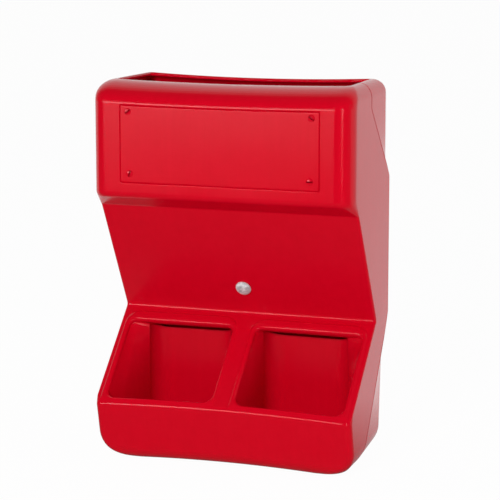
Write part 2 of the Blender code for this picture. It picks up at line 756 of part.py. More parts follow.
def nut_seat():
    """Where the wing nut's base lies along the bolt, behind the panel's outer face."""
    return -(WALL + GATE_THICKNESS + WASHER_THICKNESS + 3 * GAP)


for thing in list(bpy.data.objects):
    bpy.data.objects.remove(thing, do_unlink=True)

FEEDER = bpy.data.collections.new('creep_feeder')
CUTTERS = bpy.data.collections.new('cutters')
for collection in (FEEDER, CUTTERS):
    bpy.context.scene.collection.children.link(collection)

RED_POLYETHYLENE = material('red_polyethylene', (0.68, 0.005, 0.02), 0.42)
GALVANISED_STEEL = material('galvanised_steel', (0.55, 0.57, 0.58), 0.45, 0.9)
ZINC_PLATE = material('zinc_plate', (0.60, 0.61, 0.62), 0.35, 1.0)

axis = on_slant('bolt_axis', BOLT_UP_SLANT)
body_holes(feeder_body(), axis)
feed_gate(axis)
gate_bolt(axis)
gate_washer(axis)
gate_wing_nut(axis)
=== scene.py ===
"""A studio picture of the red two-hole creep feeder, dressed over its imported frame.

Shapes are worked out in a millimetre layout of (across, depth, height): depth runs forward from
the back face and height runs up from the floor. Everything is turned into the frame's metres in
one place, to_frame. A surface is a stack of rings, or a profile turned about the bolt's axis.
"""
import math

import bmesh
import bpy
import numpy as np
from mathutils import Matrix, Vector

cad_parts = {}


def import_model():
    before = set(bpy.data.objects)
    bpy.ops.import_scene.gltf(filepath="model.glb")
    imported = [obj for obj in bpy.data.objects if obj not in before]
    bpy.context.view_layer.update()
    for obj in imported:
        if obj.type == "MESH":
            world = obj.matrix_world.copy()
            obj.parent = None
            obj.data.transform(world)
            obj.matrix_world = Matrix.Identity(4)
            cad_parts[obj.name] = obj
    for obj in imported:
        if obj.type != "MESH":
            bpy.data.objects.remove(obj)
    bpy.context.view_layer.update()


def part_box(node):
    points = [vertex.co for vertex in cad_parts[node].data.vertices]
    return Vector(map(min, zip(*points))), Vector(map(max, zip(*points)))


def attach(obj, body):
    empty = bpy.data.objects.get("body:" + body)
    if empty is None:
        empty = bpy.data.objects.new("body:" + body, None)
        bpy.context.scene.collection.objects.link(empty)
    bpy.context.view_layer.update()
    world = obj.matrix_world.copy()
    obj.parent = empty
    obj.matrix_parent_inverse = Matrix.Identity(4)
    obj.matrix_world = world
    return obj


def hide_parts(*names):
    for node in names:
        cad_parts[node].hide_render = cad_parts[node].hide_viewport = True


MM = 0.001

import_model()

# Overall sizes of the moulding, taken from its CAD node.
body_low, body_high = (np.array(corner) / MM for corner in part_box("feeder_body"))
HALF_WIDTH = (body_high[0] - body_low[0]) / 2
BODY_DEPTH = body_high[1] - body_low[1]
WALL = 4.0

# Heights and depths of the corners of the side view.
LIP_Z, THROAT_Z, SLANT_Z, NOSE_Z, RIM_Z = 67.0, 163.0, 293.0, 307.0, 435.0
FOOT_DEPTH, TROUGH_DEPTH, THROAT_DEPTH, SLANT_DEPTH = 140.5, 156.0, 57.0, 130.0

# Roundings of the edges seen from the side, as radii or as the two leads of an ellipse.
FOOT_ROUND, LIP_EDGE_ROUND, THROAT_ROUND = 18.5, 7.0, 5.0
NOSE_INSIDE_ROUND, NOSE_EDGE_ROUND = 6.0, 8.0
FRONT_SHOULDER, SIDE_SHOULDER, BACK_SHOULDER = (23.0, 40.0), (17.0, 15.0), (16.0, 22.0)
BASE_SIDE_ROUND, BASE_BACK_ROUND = 31.0, 30.0

# Corner radii seen from above, and how they change where the side draws in.
TROUGH_CORNER, PANEL_CORNER, NOSE_CORNER, TROUGH_CORNER_RISE = 8.0, 3.0, 20.0, 8.0
BACK_CORNER, WAIST_CORNER, BASE_CORNER_GROWTH, RIM_CORNER_GROWTH = 16.0, 3.0, 0.25, -0.8

# The parting line, the drafted half of the mould behind it, and the seam left along it, which
# fades in over two distances from the back corner.
SIDE_TAPER, BACK_DRAFT_TOP, BACK_DRAFT_WAIST, BACK_DRAFT_BASE = 1.3, 2.1, 3.6, 7.5
PARTING_NOSE_DEPTH, PARTING_FOOT_DEPTH, PARTING_DROP = 78.0, 108.0, 86.0
WAIST_TOP, WAIST_FOOT = RIM_Z - 115.0, LIP_Z + 99.0
WAIST_BLEND_TOP, WAIST_BLEND_FOOT = 26.0, 34.0
SEAM_DEPTH, SEAM_WIDTH = 1.6, 0.45
SEAM_OFFSETS = (-1.5, -0.9, -0.55, -0.27, 0.0, 0.27, 0.55, 0.9, 1.5)
SEAM_FADE = (2.0, 10.0)

# Gentle bows of the moulding, and the rounded edge and flat land of its rim.
BASE_ARCH, BASE_ARCH_HALF_SPAN = 2.7, 104.0
LIP_CROWN, RIM_SAG_FRONT, RIM_SAG_BACK = 4.0, 2.5, 4.5
RIM_ROUND, RIM_LAND = 2.0, 1.2

# The cups, open upward behind their ceilings, and the raised land round each opening.
DIVIDER_WIDTH, OPENING_WIDTH, OPENING_TOP, OPENING_LENGTH = 28.0, 127.0, 21.0, 108.0
OPENING_CORNER, OPENING_TOP_CORNER, OPENING_ROUND, MOUTH_INWARD = 12.0, 8.0, 5.0, 4.4
CUP_BACK_DEPTH, CUP_CORNER, CUP_TOP_CORNER, CUP_FLOOR, CUP_FRONT_WALL = 43.0, 20.0, 2.0, 10.0, 7.0
CUP_FLOOR_ROUND, CUP_SIDE_TAPER, CUP_DIVIDER_TAPER = 26.0, 19.5, 6.0
CUP_CEILING_FALL, CUP_ROOF_FALL = 2.5, 14.0
LAND_HEIGHT, LAND_STEP, LAND_CORNER = 1.3, 2.4, 17.0
LAND_INNER, LAND_OUTER, LAND_TOP = 9.5, 146.5, 9.0

# The recess in the back.
RECESS_SIDE_MARGIN, RECESS_FOOT, RECESS_CORNER, RECESS_ROUND = 36.0, 26.0, 12.0, 7.0
RECESS_DRAFT, CHUTE_TOP, CHUTE_DROP = 4.0, LIP_Z + 108.0, 44.0

# The bare plate on the nose: its border groove and the four moulded screw heads.
PLATE_HALF_WIDTH, PLATE_FOOT, PLATE_TOP, PLATE_CORNER = 116.0, 323.0, 410.0, 1.2
PLATE_GROOVE, PLATE_GROOVE_WIDTH = 1.2, 0.5
BOSS_RADIUS, BOSS_HEIGHT, BOSS_SLOT, BOSS_SLOT_DEPTH = 4.0, 1.0, 1.3, 0.9
BOSS_SUNK, BOSS_ROOT, BOSS_FIRST_TURN, BOSS_NEXT_TURN = 0.1, 1.0, 0.6, 1.9
BOSS_PLACES = ((-107.0, 402.0), (107.0, 402.0), (-105.0, 333.0), (105.0, 333.0))

# The gate, its bolt, washer and wing nut.
BOLT_UP_SLANT, BOLT_DIAMETER, BOLT_LENGTH = 37.0, 7.9, 28.0
BOLT_HEAD_DIAMETER, BOLT_HEAD_HEIGHT, BOLT_HEAD_EDGE = 18.3, 4.4, 0.7
BOLT_NECK, BOLT_NECK_LENGTH, THREAD_PITCH, THREAD_DEPTH = 8.0, 4.6, 1.411, 0.8
BOLT_BREAK, THREAD_RUNOUT, THREAD_END, THREAD_END_DRAW = 0.2, 0.5, 2.0, 0.14
GATE_WIDTH, GATE_HEIGHT, GATE_THICKNESS, GATE_FLANGE, GATE_BEND = 270.0, 92.0, 1.5, 14.0, 3.0
GATE_REST, GATE_TRAVEL, GATE_CORNER, GATE_SLOT_PLAY, GATE_EDGE = 12.0, 32.0, 8.0, 0.55, 0.3
WASHER_DIAMETER, WASHER_THICKNESS, WASHER_EASE = 25.0, 2.0, 0.35
NUT_BASE_DIAMETER, NUT_TOP_DIAMETER, NUT_HEIGHT, NUT_COLLAR = 16.0, 12.5, 10.0, 2.0
NUT_WING_SPAN, NUT_WING_RISE, NUT_WING_FOOT, NUT_WING_TIP = 40.0, 19.0, 3.0, 8.0
NUT_WING_ROUND, NUT_WING_THICKNESS = 4.0, 3.0
MOUNT_HOLE_DIAMETER, MOUNT_HOLE_SPACING, MOUNT_HOLE_Z = 8.5, 200.0, RIM_Z - 55.0

# The gap between touching pieces, how far a cutter goes past what it cuts, the usual edge break,
# and the distance in metres under which two vertices are one.
GAP, PAST, EDGE_BREAK, WELD = 0.3, 8.0, 0.8, 1e-7

# The knocks in the moulding: across, height, depth and radius.
KNOCKS = ((-61.0, 416.0, BODY_DEPTH, 2.6), (-95.5, 413.0, BODY_DEPTH, 1.8),
          (-79.5, 50.0, TROUGH_DEPTH - 4.0, 2.2))

# Linear colours: the darker and the lighter tone of each finish.
RED_TONES = (0.580, 0.0006, 0.0115), (0.620, 0.0009, 0.0135)
STEEL_TONES = (0.34, 0.36, 0.37), (0.62, 0.64, 0.65)
ZINC_TONES = (0.46, 0.46, 0.48), (0.90, 0.90, 0.91)

# The studio: the floor's front edge and reach in metres, its grey and the share of it that glows
# for the camera, how dim reflections find the front, and the fill light there and its gain behind.
FLOOR_FRONT, FLOOR_REACH, FLOOR_GREY, FLOOR_GLOW = 1.0, 30.0, 0.86, 0.97
DIM, FILL, FILL_GAIN = 0.04, 0.08, 0.40

# The softboxes that only reflections see, in front: the x of a direction from and to, and the
# strength. Then the z from and to, and how soft their upright and level edges are.
SOFTBOXES = ((-0.70, -0.25, 9.5), (0.50, 0.62, 18.0))
SOFTBOX_LOW, SOFTBOX_HIGH, SOFT_UPRIGHT, SOFT_LEVEL = -0.065, 0.15, 0.05, 0.03

# The lamps, all aimed at one point: name, place, size in metres and power in watts.
AIM = (0.0, 0.0, 0.25)
LAMPS = (
    ("softbox_front", (0.05, -2.15, 0.98), (0.55, 0.35), 38.5),
    ("side_right", (2.1, -0.1, 0.7), (1.0, 1.2), 13.0),
    ("side_left", (-2.1, -0.1, 0.9), (1.0, 1.2), 5.0),
)

# The camera, from the fit of the photograph's outline.
CAMERA_PLACE, CAMERA_TARGET = (0.78535, -2.19652, 0.64396), (0.0024, 0.019, 0.23674)
CAMERA_LENS, CAMERA_SENSOR, CAMERA_ROLL = 149.66, 36.0, -0.03


# Curves and small helpers.

def to_frame(points):
    """Layout points in millimetres as frame points in metres: depth turns into -Y."""
    points = np.asarray(points, float)
    return np.stack([points[..., 0], BODY_DEPTH / 2 - points[..., 1], points[..., 2]], -1) * MM


def smooth_step(low, high, value):
    """0 below low, 1 above high, and 3t^2 - 2t^3 between, where t is the share of the way."""
    t = np.clip((np.asarray(value, float) - low) / (high - low), 0.0, 1.0)
    return t * t * (3 - 2 * t)


def rounded_path(corners, steps):
    """A polyline through (a, b, lead_in, lead_out) corners, each rounded by a conic arc.

    An arc is the rational blend ((1-t)^2 P + 2wt(1-t) C + t^2 Q) / sum of the weights, with P and
    Q at the leads from the corner C and w the sine of half the corner's angle.
    """
    points = np.array([corner[:2] for corner in corners], float)
    leads_in, leads_out = np.array([corner[2:] for corner in corners], float).T
    room = np.linalg.norm(np.diff(points, axis=0), axis=1)
    fit = np.minimum(1.0, 0.96 * room / np.maximum(leads_out[:-1] + leads_in[1:], 1e-9))
    t = np.linspace(0.0, 1.0, steps + 1)[:, None]
    path = [points[:1]]
    for index in range(1, len(points) - 1):
        here = points[index]
        before = (points[index - 1] - here) / room[index - 1]
        after = (points[index + 1] - here) / room[index]
        start = here + before * leads_in[index] * fit[index - 1]
        end = here + after * leads_out[index] * fit[index]
        weight = math.sqrt(max((1 - before @ after) / 2, 0.0))
        shares = (1 - t) ** 2, 2 * weight * t * (1 - t), t ** 2
        path.append((shares[0] * start + shares[1] * here + shares[2] * end) / sum(shares))
    return np.concatenate(path + [points[-1:]])


def circular(a, b, radius, before, after):
    """A corner for rounded_path whose leads give a circular arc of the radius."""
    here = np.array([a, b], float)
    one, two = np.array(before, float) - here, np.array(after, float) - here
    cosine = one @ two / (np.linalg.norm(one) * np.linalg.norm(two))
    lead = radius * math.sqrt((1 + cosine) / max(1 - cosine, 1e-6))
    return a, b, lead, lead


def offset_path(path, distance):
    """The polyline moved by a distance to the left of its direction, along mean normals."""
    step = np.diff(path, axis=0)
    step /= np.maximum(np.linalg.norm(step, axis=1, keepdims=True), 1e-9)
    normal = np.stack([-step[:, 1], step[:, 0]], axis=1)
    at_points = np.vstack([normal[:1], normal[:-1] + normal[1:], normal[-1:]])
    at_points /= np.linalg.norm(at_points, axis=1, keepdims=True)
    return path + at_points * distance


def along_height(path, heights):
    """Where a rising polyline stands at each height."""
    order = np.argsort(path[:, 1], kind="stable")
    return np.interp(heights, path[order, 1], path[order, 0])


def lengths_along(path):
    """The length of a polyline up to each of its points."""
    steps = np.linalg.norm(np.diff(path, axis=0), axis=1)
    return np.concatenate([[0.0], np.cumsum(steps)])


def thinned(values, least):
    """The sorted values, without those nearer to the one before than the least distance."""
    kept = []
    for value in np.sort(values):
        if not kept or value - kept[-1] >= least:
            kept.append(value)
    return np.array(kept)


def edge_distance(across, along, half_across, half_along, radius):
    """The distance to a rounded rectangle about the origin, negative inside it."""
    over = np.stack([np.abs(across) - half_across, np.abs(along) - half_along], -1) + radius
    outside = np.linalg.norm(np.maximum(over, 0.0), axis=-1)
    return outside + np.minimum(over.max(axis=-1), 0.0) - radius


# The skin of the moulding.

def outlines():
    """The front, side and back outlines from the base to the mouth, as rounded corners."""
    middle = BODY_DEPTH / 2
    start, end = (middle, 0.0), (middle, RIM_Z)
    foot, lip = (FOOT_DEPTH, 0.0), (TROUGH_DEPTH, LIP_Z)
    throat, slant = (THROAT_DEPTH, THROAT_Z), (SLANT_DEPTH, SLANT_Z)
    nose, top = (BODY_DEPTH, NOSE_Z), (BODY_DEPTH, RIM_Z)
    front = [
        start + (0.0, 0.0),
        circular(*foot, FOOT_ROUND, start, lip),
        circular(*lip, LIP_EDGE_ROUND, foot, throat),
        circular(*throat, THROAT_ROUND, lip, slant),
        circular(*slant, NOSE_INSIDE_ROUND, throat, nose),
        circular(*nose, NOSE_EDGE_ROUND, slant, top),
        top + FRONT_SHOULDER,
        end + (0.0, 0.0),
    ]
    side = [
        (0.0, 0.0, 0.0, 0.0),
        (HALF_WIDTH, 0.0, BASE_SIDE_ROUND, BASE_SIDE_ROUND),
        (HALF_WIDTH, RIM_Z) + SIDE_SHOULDER,
        (0.0, RIM_Z, 0.0, 0.0),
    ]
    back = [
        start + (0.0, 0.0),
        (0.0, 0.0, BASE_BACK_ROUND, BASE_BACK_ROUND),
        (0.0, RIM_Z) + BACK_SHOULDER,
        end + (0.0, 0.0),
    ]
    return front, side, back


def bow(across, depth, height):
    """How far the edges bow up or down: a parabola across, scaled by height and depth."""
    rim_sag = RIM_SAG_BACK + (RIM_SAG_FRONT - RIM_SAG_BACK) * depth / BODY_DEPTH
    share = np.clip((height - NOSE_Z) / (RIM_Z - NOSE_Z), 0.0, 1.0)
    lift = np.interp(height, (0.0, LIP_Z, THROAT_Z), (BASE_ARCH, LIP_CROWN, 0.0)) - rim_sag * share
    span = np.interp(height, (0.0, LIP_Z), (BASE_ARCH_HALF_SPAN, HALF_WIDTH))
    return lift * np.maximum(0.0, 1 - (across / span) ** 2)


class Skin:
    """The lofted skin of the body, or the same skin moved in by an inset.

    A ring is half a plan outline: shares of the front, an arc round the front corner, the side
    with the parting line, the drafted side behind it, an arc round the back corner, the back.
    """

    def __init__(self, inset, front_shares, seam_offsets, arc_steps, side_steps, back_steps):
        self.inset = inset
        self.front, self.side, self.back = [
            offset_path(rounded_path(corners, 32)[1:-1], inset * turn)
            for corners, turn in zip(outlines(), (1, 1, -1))
        ]
        self.front_shares = front_shares
        self.turns = np.linspace(0.0, math.pi / 2, arc_steps + 1)
        self.side_shares = np.linspace(0.0, 1.0, side_steps + 1)[1:-1]
        self.seam_offsets = np.array(seam_offsets)
        self.back_shares = np.linspace(1.0, 0.0, back_steps + 1)[1:]

    def rings(self, heights):
        """Half rings at the heights, as across, depth and height arrays of (rings, points)."""
        height = np.asarray(heights, float)[:, None]
        front, side, back = (along_height(path, height)
                             for path in (self.front, self.side, self.back))
        growth = np.where(height < RIM_Z / 2, BASE_CORNER_GROWTH, RIM_CORNER_GROWTH)
        growth = growth * np.maximum(HALF_WIDTH - self.inset - side, 0.0)
        to_panel = smooth_step(LIP_Z, LIP_Z + TROUGH_CORNER_RISE, height)
        to_nose = smooth_step(SLANT_Z, NOSE_Z, height)
        corner = TROUGH_CORNER + (PANEL_CORNER - TROUGH_CORNER) * to_panel
        corner = corner + (NOSE_CORNER - PANEL_CORNER) * to_nose + growth - self.inset
        corner = np.minimum(np.maximum(corner, 1.0), side / 2)
        behind = np.maximum(smooth_step(WAIST_TOP, WAIST_TOP + WAIST_BLEND_TOP, height),
                            1 - smooth_step(WAIST_FOOT - WAIST_BLEND_FOOT, WAIST_FOOT, height))
        back_corner = WAIST_CORNER + (BACK_CORNER - WAIST_CORNER) * behind - self.inset
        back_corner = np.maximum(back_corner + growth, 1.0)
        parting_side = side - SIDE_TAPER
        draft = np.where(height > WAIST_FOOT, BACK_DRAFT_TOP, BACK_DRAFT_BASE
                         + (BACK_DRAFT_WAIST - BACK_DRAFT_BASE) * height / WAIST_FOOT)
        back_side = parting_side - draft * behind
        seam_back, seam_front = back + back_corner, front - corner
        above = np.minimum((height - WAIST_TOP) / PARTING_DROP, 1.0) * PARTING_NOSE_DEPTH
        below = (WAIST_FOOT - height) / WAIST_FOOT * PARTING_FOOT_DEPTH
        room = np.max(np.abs(self.seam_offsets)) + 1.0
        seam = np.clip(np.maximum(above, below), seam_back + room, seam_front - room)
        sine, cosine = np.sin(self.turns), np.cos(self.turns)
        seam_depths = seam - self.seam_offsets
        groove = SEAM_DEPTH * np.exp(-(self.seam_offsets / SEAM_WIDTH) ** 2)
        groove = groove * smooth_step(*SEAM_FADE, seam - seam_back) * (self.inset == 0.0)
        first, last = seam_depths[:, :1], seam_depths[:, -1:]
        side_front = seam_front + (first - seam_front) * self.side_shares
        side_back = last + (seam_back - last) * self.side_shares
        pieces = [
            ((side - corner) * self.front_shares, front + 0 * self.front_shares),
            (side - corner + corner * sine, seam_front + corner * cosine),
            (side - SIDE_TAPER * self.side_shares, side_front),
            (parting_side - groove, seam_depths),
            (parting_side + (back_side - parting_side) * self.side_shares, side_back),
            (back_side - back_corner + back_corner * cosine, seam_back - back_corner * sine),
            ((back_side - back_corner) * self.back_shares, back + 0 * self.back_shares),
        ]
        across = np.concatenate([piece[0] for piece in pieces], axis=1)
        depth = np.concatenate([piece[1] for piece in pieces], axis=1)
        return across, depth, np.broadcast_to(height, across.shape)


def all_round(across, depth, height):
    """Whole rings from half rings: the other half is mirrored, without the two centre points."""
    half = np.stack([across, depth, height], -1)
    other = half[:, -2:0:-1] * (-1.0, 1.0, 1.0)
    return np.concatenate([half, other], axis=1)


def bowed(rings):
    """The rings with the moulding's bow added to their heights."""
    rings = rings.copy()
    rings[..., 2] += bow(rings[..., 0], rings[..., 1], rings[..., 2])
    return rings


def scaled(ring, share):
    """A level ring scaled about its middle."""
    middle = (ring[:, :2].min(axis=0) + ring[:, :2].max(axis=0)) / 2
    moved = ring.copy()
    moved[:, :2] = middle + (ring[:, :2] - middle) * share
    return moved


def drawn_in(ring, distance):
    """A ring scaled so that each of its sides moves in by the distance."""
    return scaled(ring, 1 - distance / (np.ptp(ring[:, :2], axis=0) / 2))


def floor_rings(ring):
    """Rings from near the middle out to a level ring, so that a bowed floor stays smooth."""
    return np.array([scaled(ring, share) for share in (0.02, 0.15, 0.3, 0.45, 0.6, 0.75, 0.9)])


# Meshes.

def new_object(name, vertices, faces):
    """A closed mesh from frame points and faces, with its normals turned out."""
    data = bpy.data.meshes.new(name)
    data.from_pydata(vertices.reshape(-1, 3).tolist(), [], faces)
    mesh = bmesh.new()
    mesh.from_mesh(data)
    bmesh.ops.remove_doubles(mesh, verts=mesh.verts, dist=WELD)
    bmesh.ops.recalc_face_normals(mesh, faces=mesh.faces)
    mesh.to_mesh(data)
    mesh.free()
    made = bpy.data.objects.new(name, data)
    bpy.context.scene.collection.objects.link(made)
    return made


def ring_walls(levels, count):
    """The point numbers of rings of equal size, and the quads between neighbouring rings."""
    index = np.arange(levels * count).reshape(levels, count)
    after = np.roll(index, -1, axis=1)
    walls = np.stack([index[:-1], after[:-1], after[1:], index[1:]], -1)
    return index, walls.reshape(-1, 4).tolist()


def loft(name, rings):
    """A closed solid through rings of equal size: quads between neighbours.

    The end rings are capped in strips that join point i to its partner on the other side of the
    ring, and in one face for the last 8 points or so at each side.
    """
    levels, count = rings.shape[:2]
    index, faces = ring_walls(levels, count)
    half = count // 2
    strips = half // 2 - 8
    strip = np.arange(strips)
    quads = np.stack([strip, strip + 1, half - strip - 1, half - strip], -1)
    rest = np.arange(strips, half - strips + 1)
    for row in (index[0], index[-1]):
        for sign in (1, -1):
            faces += row[sign * quads % count].tolist() + [row[sign * rest % count].tolist()]
    return new_object(name, to_frame(rings), faces)


def turned(name, profile, segments=64):
    """A profile of (radius, height) points turned about Z: (r cos a, r sin a, h).

    A profile that starts and ends on the axis closes by itself, and a ring's profile is closed
    by joining its last point to its first.
    """
    profile = np.array(profile, float)
    angles = np.linspace(0.0, 2 * math.pi, segments, endpoint=False)[:, None]
    radius, height = profile[:, 0][None], profile[:, 1][None]
    points = np.stack([radius * np.cos(angles), radius * np.sin(angles),
                       height + 0 * angles], -1) * MM
    count = len(profile)
    index = np.arange(segments * count).reshape(segments, count)
    beside = np.roll(index, -1, axis=0)
    up, up_beside = np.roll(index, -1, axis=1), np.roll(beside, -1, axis=1)
    faces = np.stack([index, beside, up_beside, up], -1)
    if profile[0, 0] == 0.0:
        faces = faces[:, :-1]
    return new_object(name, points, faces.reshape(-1, 4).tolist())


def prism(name, outline, low, high):
    """A flat outline in the XY plane carried from one height to another."""
    levels = [np.column_stack([outline, np.full(len(outline), height)]) for height in (low, high)]
    index, faces = ring_walls(2, len(outline))
    faces += [index[0, ::-1].tolist(), index[1].tolist()]
    return new_object(name, np.array(levels, float) * MM, faces)


def apply_modifiers(piece):
    """Put what a piece's modifiers make into its own mesh."""
    depsgraph = bpy.context.evaluated_depsgraph_get()
    made = bpy.data.meshes.new_from_object(piece.evaluated_get(depsgraph))
    piece.modifiers.clear()
    old, piece.data = piece.data, made
    bpy.data.meshes.remove(old)


def combine(piece, cutters, operation="DIFFERENCE"):
    """Cut a piece by others, or join them to it, by exact Booleans, and drop the others.

    An object goes with its mesh when the mesh is removed.
    """
    for other in cutters:
        boolean = piece.modifiers.new(operation.lower(), "BOOLEAN")
        boolean.operation = operation
        boolean.solver = "EXACT"
        boolean.object = other
    apply_modifiers(piece)
    for other in cutters:
        bpy.data.meshes.remove(other.data)


def finished(piece, material, body, node=None, sharp=35.0, weighted=True):
    """Give a piece its name, finish and body, shade it smooth, and say what it replaces."""
    data = piece.data
    mesh = bmesh.new()
    mesh.from_mesh(data)
    bmesh.ops.remove_doubles(mesh, verts=mesh.verts, dist=2 * WELD)
    bmesh.ops.dissolve_degenerate(mesh, edges=mesh.edges, dist=WELD)
    mesh.to_mesh(data)
    mesh.free()
    data.name = piece.name
    data.materials.clear()
    data.materials.append(material)
    data.shade_smooth()
    data.set_sharp_from_angle(angle=math.radians(sharp))
    if weighted:
        normals = piece.modifiers.new("even_normals", "WEIGHTED_NORMAL")
        normals.keep_sharp = True
        normals.weight = 50
    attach(piece, body)
    if node:
        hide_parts(node)


# The moulding's parts: skin, hollow, cups and recess.

def skin_heights():
    """The heights of the outer skin's rings, close together where the form or a detail turns."""
    paths = [rounded_path(corners, 12)[1:-1, 1] for corners in outlines()]
    length = math.hypot(TROUGH_DEPTH - THROAT_DEPTH, THROAT_Z - LIP_Z)
    down_panel = np.concatenate([
        np.arange(0.0, 5.0, 2.5),  # above the land
        np.arange(5.0, 28.0, 0.6),  # the upper edges of the land and the openings
        np.arange(28.0, 114.0, 3.0),  # beside the openings
        np.arange(114.0, length, 1.2),  # below the openings
    ])
    border = np.arange(-1.6, 1.61, 0.32)
    return thinned(np.concatenate(paths + [
        THROAT_Z - down_panel * (THROAT_Z - LIP_Z) / length,
        np.linspace(18.0, LIP_Z - 5.0, 14),
        np.linspace(THROAT_Z + 4.0, SLANT_Z - 4.0, 30),
        np.linspace(NOSE_Z, RIM_Z - 24.0, 24),
        PLATE_FOOT + border,
        PLATE_TOP + border,
    ]), 0.28)


def front_columns():
    """Shares of the front's half width, closer together where a detail turns."""
    return np.concatenate([
        np.linspace(0.0, 0.05, 3),  # the divider's middle
        np.arange(0.0538, 0.082, 0.0038),  # the land's inner edge
        np.arange(0.086, 0.2305, 0.0095),  # the openings' inner corners
        np.linspace(0.2305, 0.83, 11),  # plain
        np.arange(0.8685, 0.894, 0.0023),  # the upright border of the plate
        np.arange(0.908, 0.962, 0.0095),  # the openings' outer corners
        np.arange(0.966, 0.9999, 0.004),  # the land's outer edge
    ])


def outer_skin():
    """The outside of the body, with the plate's border and the land round each opening.

    The border is a groove, minus its depth times exp(-(d/w)^2) of the distance d to a rounded
    rectangle. The land is a step of 3t^2 - 2t^3 across the edge of another, along the panel's
    outward normal, which fades before the trough's lip.
    """
    shares = front_columns()
    skin = Skin(0.0, shares, SEAM_OFFSETS, arc_steps=11, side_steps=7, back_steps=7)
    across, depth, height = skin.rings(skin_heights())
    depth, height = depth.copy(), height.copy()
    level = height.copy()
    plate = edge_distance(across, level - (PLATE_TOP + PLATE_FOOT) / 2, PLATE_HALF_WIDTH,
                          (PLATE_TOP - PLATE_FOOT) / 2, PLATE_CORNER)
    groove = PLATE_GROOVE * np.exp(-(plate / PLATE_GROOVE_WIDTH) ** 2)
    on_front = (np.arange(across.shape[1]) < len(shares))[None] & (level > NOSE_Z)
    depth -= groove * on_front
    run = np.array([TROUGH_DEPTH - THROAT_DEPTH, THROAT_Z - LIP_Z])
    length = np.linalg.norm(run)
    down_panel = (THROAT_Z - level) / run[1] * length
    land_foot = length + 2 * LAND_CORNER
    land = edge_distance(across - (LAND_INNER + LAND_OUTER) / 2,
                         down_panel - (LAND_TOP + land_foot) / 2,
                         (LAND_OUTER - LAND_INNER) / 2, (land_foot - LAND_TOP) / 2, LAND_CORNER)
    rise = LAND_HEIGHT * smooth_step(LAND_STEP / 2, -LAND_STEP / 2, land)
    rise *= 1 - smooth_step(length - 8.0, length - 2.0, down_panel)
    rise *= (level < THROAT_Z) & (depth > BODY_DEPTH / 3)
    depth += rise * run[1] / length
    height += bow(across, depth, level) + rise * run[0] / length
    rings = all_round(across, depth, height)
    base = all_round(*skin.rings([0.0]))[0]
    return loft("feeder_housing", np.concatenate([bowed(floor_rings(base)), rings]))


def hollow():
    """The space inside the walls: the inner skin, and a mouth whose edge is rounded over.

    The mouth's rounding widens by r(1 - cos a) as it rises by r sin a.
    """
    skin = Skin(WALL, np.linspace(0.0, 1.0, 17)[:-1], (-2.0, 0.0, 2.0), arc_steps=10,
                side_steps=8, back_steps=16)
    paths = [offset_path(rounded_path(corners, 8)[1:-1], WALL * turn)[:, 1]
             for corners, turn in zip(outlines(), (1, 1, -1))]
    heights = np.concatenate(paths + [np.linspace(WALL, RIM_Z - WALL, 60)])
    inside = thinned(heights[(heights >= WALL) & (heights < RIM_Z - WALL - 0.3)], 1.2)
    rings = all_round(*skin.rings(inside))
    top = drawn_in(all_round(*skin.rings([RIM_Z - WALL]))[0], RIM_LAND)
    mouth = []
    for turn in np.radians((0.0, 15.0, 30.0, 45.0, 60.0, 75.0, 88.0)):
        ring = drawn_in(top, -RIM_ROUND * (1 - math.cos(turn)))
        ring[:, 2] = RIM_Z - RIM_ROUND * (1 - math.sin(turn)) + 0.04
        mouth.append(ring)
    above = mouth[-1].copy()
    above[:, 2] = RIM_Z + PAST
    top[:, 2] = RIM_Z - WALL + 0.4
    base = all_round(*skin.rings([WALL]))[0]
    return loft("hollow", bowed(np.concatenate([
        floor_rings(base), rings, top[None], np.array(mouth), above[None]])))


def rounded_rings(left, right, low, high, radius, top_radius=None):
    """A rounded rectangle for each row of the arrays, from the top middle clockwise."""
    corner_steps, wide_steps, tall_steps = 8, 12, 14
    left, right, low, high, radius, top_radius = (
        np.asarray(value, float)[:, None] for value in np.broadcast_arrays(
            left, right, low, high, radius, radius if top_radius is None else top_radius))
    middle, half = (left + right) / 2, (right - left) / 2
    most = 0.96 * np.minimum(half, (high - low) / 2)
    radius, top_radius = np.minimum(radius, most), np.minimum(top_radius, most)
    turns = np.linspace(0.0, math.pi / 2, corner_steps + 1)
    wide = np.linspace(0.0, 1.0, wide_steps + 1)[:-1]
    tall = np.linspace(0.0, 1.0, tall_steps + 1)[1:-1]
    reach, top_reach = half - radius, half - top_radius
    start, end = high - top_radius, low + radius
    x = np.concatenate([
        top_reach * wide, top_reach + top_radius * np.sin(turns), half + 0 * tall,
        reach + radius * np.cos(turns), reach * wide[::-1]], axis=1)
    y = np.concatenate([
        high + 0 * wide, start + top_radius * np.cos(turns), start + (end - start) * tall,
        end - radius * np.sin(turns), low + 0 * wide], axis=1)
    x = np.concatenate([x, -x[:, -2:0:-1]], axis=1)
    y = np.concatenate([y, y[:, -2:0:-1]], axis=1)
    return middle + x, y


class Stretch:
    """A straight stretch of the side view, with places along it and off it."""

    def __init__(self, start, end, inward):
        self.start = np.array(start, float)
        reach = np.array(end, float) - self.start
        self.along = reach / np.linalg.norm(reach)
        self.inward = np.array([self.along[1], -self.along[0]]) * inward

    def at(self, distance, inward=0.0):
        """The (depth, height) at a distance along the stretch and inward from it."""
        return self.start + self.along * distance + self.inward * inward


PANEL = Stretch((THROAT_DEPTH, THROAT_Z), (TROUGH_DEPTH, LIP_Z), 1)
SLANT = Stretch((THROAT_DEPTH, THROAT_Z), (SLANT_DEPTH, SLANT_Z), -1)


